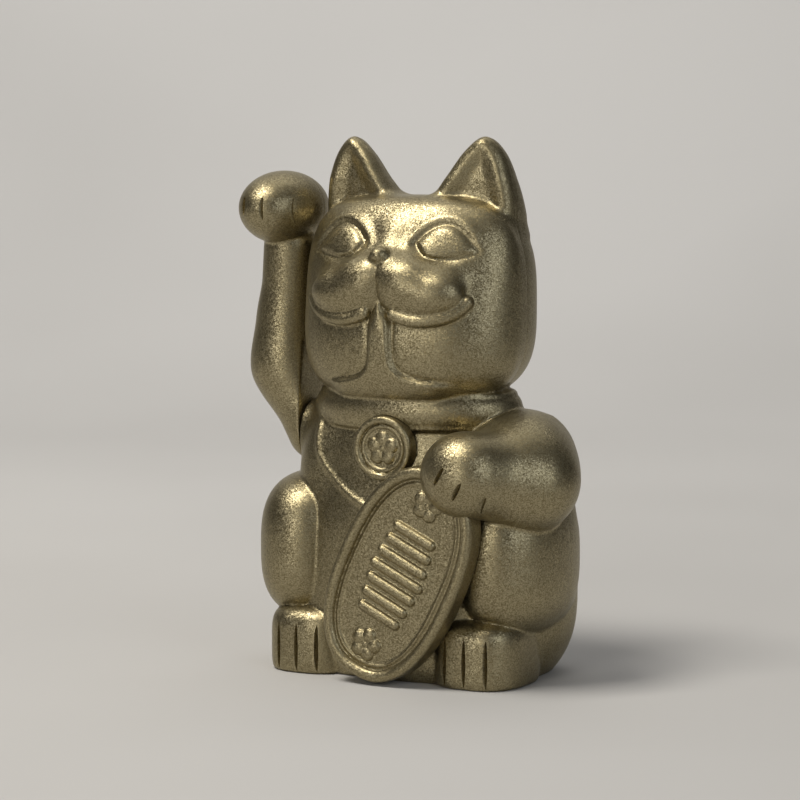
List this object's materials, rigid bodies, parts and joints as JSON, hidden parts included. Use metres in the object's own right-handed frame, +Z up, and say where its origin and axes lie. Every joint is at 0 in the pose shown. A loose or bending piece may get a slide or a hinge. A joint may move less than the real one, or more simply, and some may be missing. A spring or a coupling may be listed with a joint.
{
  "type": "beckoning cat figurine",
  "caption": "Seated beckoning cat figurine in satin gold with a raised waving arm, an oval coin held at the belly and a medal on the collar.",
  "frame": {"origin": "point on the table under the middle of the body, on the underside of the base plate where the parting plane of the shells meets the cat's own middle plane", "axes": "+Z up, -Y to the front where the cat faces, +X to the cat's left, so the raised arm is at -X"},
  "size_m": [0.1048, 0.0713, 0.1499],
  "materials": {
    "gold_paint": "satin metallic gold paint with a fine grain over moulded plastic",
    "base_plastic": "fine textured dark brown",
    "natural_plastic": "unpainted moulding",
    "plated_steel": "zinc plated",
    "brass": "turned",
    "magnet": "sintered ferrite",
    "copper_wire": "enamelled copper windings",
    "board": "green solder mask",
    "black_plastic": "moulded",
    "blue_sleeve": "shrink sleeve",
    "red_wire": "wire insulation",
    "cell_jacket": "plain printed steel jacket"
  },
  "bodies": {
    "housing": {"front_shell": "gold_paint", "rear_shell": "gold_paint", "koban_coin": "gold_paint", "collar_medal": "gold_paint", "base_plate": "base_plastic", "battery_cell": "cell_jacket", "contact_leaf": "plated_steel", "contact_plate": "plated_steel", "pivot_frame": "natural_plastic", "pivot_bushes": "brass", "drive_board": "board", "coil_bobbin": "natural_plastic", "coil_winding": "copper_wire", "transistor": "black_plastic", "capacitor": "blue_sleeve", "wire_red": "red_wire", "wire_black": "black_plastic", "case_screws": "plated_steel", "base_screws": "plated_steel", "frame_screws": "plated_steel", "board_screws": "plated_steel"},
    "waving_arm": {"arm_front_half": "gold_paint", "arm_rear_half": "gold_paint", "arm_hub": "natural_plastic", "pivot_axle": "plated_steel", "axle_clip": "plated_steel", "swing_lever": "natural_plastic", "pendulum_magnet": "magnet", "counterweight": "plated_steel"},
    "battery_door": {"battery_door": "base_plastic", "door_screw": "plated_steel"}
  },
  "joints": [
    {"name": "arm_wave", "type": "hinge", "parent": "housing", "child": "waving_arm", "pos_m": [0, 0, 0.066], "axis": [1, 0, 0], "range_deg": [-18, 18]},
    {"name": "battery_door", "type": "slide", "parent": "housing", "child": "battery_door", "axis": [0, 0, -1], "range_m": [0, 0.03]}
  ]
}
